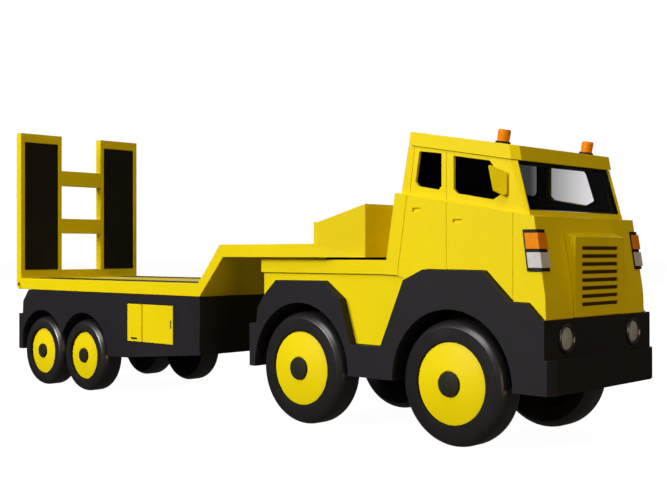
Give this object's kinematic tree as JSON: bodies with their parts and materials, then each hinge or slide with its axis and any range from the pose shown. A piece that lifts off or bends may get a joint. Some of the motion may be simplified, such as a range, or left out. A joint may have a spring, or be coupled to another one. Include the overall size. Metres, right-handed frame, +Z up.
{
  "type": "toy tractor unit with low-loader trailer",
  "caption": "Toy heavy-haulage tractor unit with a detachable gooseneck low-loader trailer, fold-down rear ramp, turning wheels and opening side lockers.",
  "frame": {"origin": "on the ground, under the middle of the model's length and width", "axes": "+X to the front of the tractor, +Y to its left side, +Z up"},
  "size_m": [0.5882, 0.1342, 0.2366],
  "materials": {
    "yellow_plastic": "moulded, satin gloss",
    "black_plastic": "moulded, fine grain",
    "interior_plastic": "matt black",
    "tyre": "smooth, polished shoulder",
    "axle_cap": "satin press-on cap",
    "orange_lens": "glossy translucent lens",
    "clear_lens": "glossy frosted lens",
    "window_glass": "smoke tinted, polished",
    "tread_pad": "fine-grained anti-slip pad",
    "steel": "turned"
  },
  "bodies": {
    "tractor": {"chassis": "black_plastic", "lower_body": "black_plastic", "cab_and_bed": "yellow_plastic", "fifth_wheel_plate": "black_plastic", "cab_roof": "yellow_plastic", "cab_interior": "interior_plastic", "windscreen": "window_glass", "side_glass_right": "window_glass", "side_glass_left": "window_glass", "grille_housing": "yellow_plastic", "grille_insert": "interior_plastic", "lamp_housing_right": "black_plastic", "indicator_lens_right": "orange_lens", "headlamp_lens_right": "clear_lens", "fog_lamp_right": "clear_lens", "fog_ring_right": "black_plastic", "mirror_right": "yellow_plastic", "beacon_base_right": "black_plastic", "beacon_lens_right": "orange_lens", "lamp_housing_left": "black_plastic", "indicator_lens_left": "orange_lens", "headlamp_lens_left": "clear_lens", "fog_lamp_left": "clear_lens", "fog_ring_left": "black_plastic", "mirror_left": "yellow_plastic", "beacon_base_left": "black_plastic", "beacon_lens_left": "orange_lens"},
    "front_wheels": {"front_axle": "axle_cap", "front_tyre_right": "tyre", "front_rim_right": "yellow_plastic", "front_tyre_left": "tyre", "front_rim_left": "yellow_plastic"},
    "rear_wheels": {"rear_axle": "axle_cap", "rear_tyre_right": "tyre", "rear_rim_right": "yellow_plastic", "rear_tyre_left": "tyre", "rear_rim_left": "yellow_plastic"},
    "trailer_front_wheels": {"trailer_front_axle": "axle_cap", "trailer_front_tyre_right": "tyre", "trailer_front_rim_right": "yellow_plastic", "trailer_front_tyre_left": "tyre", "trailer_front_rim_left": "yellow_plastic"},
    "trailer_rear_wheels": {"trailer_rear_axle": "axle_cap", "trailer_rear_tyre_right": "tyre", "trailer_rear_rim_right": "yellow_plastic", "trailer_rear_tyre_left": "tyre", "trailer_rear_rim_left": "yellow_plastic"},
    "king_pin": {"king_pin": "steel"},
    "trailer": {"trailer_bed": "yellow_plastic", "deck_pad_right": "tread_pad", "deck_pad_left": "tread_pad", "trailer_body": "black_plastic", "ramp_hinge_pin": "steel"},
    "ramp": {"ramp_frame": "yellow_plastic", "ramp_pad_right": "tread_pad", "ramp_pad_left": "tread_pad"},
    "locker_door_right": {"locker_door_right": "yellow_plastic"},
    "locker_flap_right": {"locker_flap_right": "yellow_plastic"},
    "locker_door_left": {"locker_door_left": "yellow_plastic"},
    "locker_flap_left": {"locker_flap_left": "yellow_plastic"}
  },
  "joints": [
    {"name": "front_wheels_spin", "type": "hinge", "parent": "tractor", "child": "front_wheels", "pos_m": [0.2212, 0, 0.04], "axis": [0, 1, 0], "continuous": true},
    {"name": "rear_wheels_spin", "type": "hinge", "parent": "tractor", "child": "rear_wheels", "pos_m": [0.0884, 0, 0.04], "axis": [0, 1, 0], "continuous": true},
    {"name": "trailer_front_wheels_spin", "type": "hinge", "parent": "trailer", "child": "trailer_front_wheels", "pos_m": [-0.1817, 0, 0.0315], "axis": [0, 1, 0], "continuous": true},
    {"name": "trailer_rear_wheels_spin", "type": "hinge", "parent": "trailer", "child": "trailer_rear_wheels", "pos_m": [-0.249, 0, 0.0315], "axis": [0, 1, 0], "continuous": true},
    {"name": "king_pin_lift", "type": "slide", "parent": "tractor", "child": "king_pin", "axis": [0, 0, 1], "range_m": [0, 0.02]},
    {"name": "trailer_turn", "type": "hinge", "parent": "king_pin", "child": "trailer", "pos_m": [0.0884, 0, 0.119], "axis": [0, 0, 1], "range_deg": [-90, 90]},
    {"name": "ramp_fold", "type": "hinge", "parent": "trailer", "child": "ramp", "pos_m": [-0.2901, 0, 0.092], "axis": [0, -1, 0], "range_deg": [0, 127]},
    {"name": "locker_door_right_swing", "type": "hinge", "parent": "trailer", "child": "locker_door_right", "pos_m": [-0.09385, -0.0661, 0.0639], "axis": [0, 0, -1], "range_deg": [0, 90]},
    {"name": "locker_flap_right_lift", "type": "hinge", "parent": "trailer", "child": "locker_flap_right", "pos_m": [-0.10533, -0.0661, 0.0785], "axis": [-1, 0, 0], "range_deg": [0, 85]},
    {"name": "locker_door_left_swing", "type": "hinge", "parent": "trailer", "child": "locker_door_left", "pos_m": [-0.09385, 0.0661, 0.0639], "axis": [0, 0, 1], "range_deg": [0, 90]},
    {"name": "locker_flap_left_lift", "type": "hinge", "parent": "trailer", "child": "locker_flap_left", "pos_m": [-0.10533, 0.0661, 0.0785], "axis": [1, 0, 0], "range_deg": [0, 85]}
  ]
}
